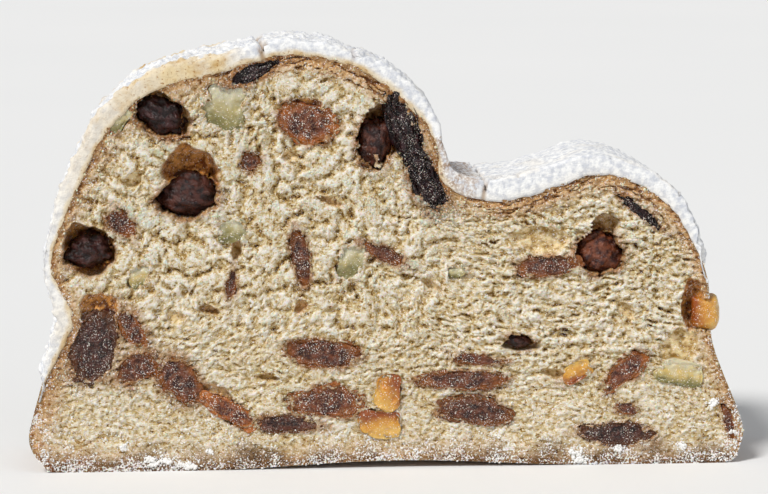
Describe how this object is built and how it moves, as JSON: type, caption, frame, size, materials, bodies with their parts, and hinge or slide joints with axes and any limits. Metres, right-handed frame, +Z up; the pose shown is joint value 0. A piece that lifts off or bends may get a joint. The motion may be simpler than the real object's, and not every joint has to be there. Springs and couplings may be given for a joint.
{
  "type": "stollen slice",
  "caption": "Upright slice of a folded yeast loaf with raisins and candied peel, coated in sugar over the top, resting on its base crust.",
  "frame": {"origin": "middle of the base, on the surface that the slice stands on, halfway between its two cuts", "axes": "+X across the loaf from its tall hump to its lower shoulder, +Y from the front cut to the back cut, along the loaf, +Z up"},
  "size_m": [0.1252, 0.024, 0.0748],
  "materials": {
    "dough": "baked yeast dough, open crumb and brown crust, matte",
    "sugar_coat": "butter and icing sugar, caked, matte",
    "raisin": "dried grape, wrinkled, moist",
    "orange_peel": "candied orange peel, moist and translucent",
    "citron": "candied citron peel, moist and translucent"
  },
  "bodies": {
    "root": {"dough": "dough", "sugar_coat": "sugar_coat", "raisin_01": "raisin", "raisin_02": "raisin", "raisin_03": "raisin", "raisin_04": "raisin", "raisin_05": "raisin", "raisin_06": "raisin", "raisin_07": "raisin", "raisin_08": "raisin", "raisin_09": "raisin", "raisin_10": "raisin", "raisin_11": "raisin", "raisin_12": "raisin", "raisin_13": "raisin", "raisin_14": "raisin", "raisin_15": "raisin", "raisin_16": "raisin", "raisin_17": "raisin", "raisin_18": "raisin", "raisin_19": "raisin", "raisin_20": "raisin", "raisin_21": "raisin", "raisin_22": "raisin", "raisin_23": "raisin", "raisin_24": "raisin", "raisin_25": "raisin", "raisin_26": "raisin", "raisin_27": "raisin", "raisin_28": "raisin", "raisin_29": "raisin", "raisin_30": "raisin", "raisin_31": "raisin", "raisin_32": "raisin", "orange_peel_1": "orange_peel", "orange_peel_2": "orange_peel", "orange_peel_3": "orange_peel", "orange_peel_4": "orange_peel", "citron_1": "citron", "citron_2": "citron", "citron_3": "citron", "citron_4": "citron", "citron_5": "citron", "citron_6": "citron", "citron_7": "citron", "raisin_33": "raisin", "raisin_34": "raisin", "raisin_35": "raisin", "raisin_36": "raisin", "raisin_37": "raisin", "raisin_38": "raisin", "raisin_39": "raisin", "raisin_40": "raisin", "raisin_41": "raisin", "orange_peel_5": "orange_peel", "orange_peel_6": "orange_peel", "citron_8": "citron", "citron_9": "citron"}
  },
  "joints": []
}
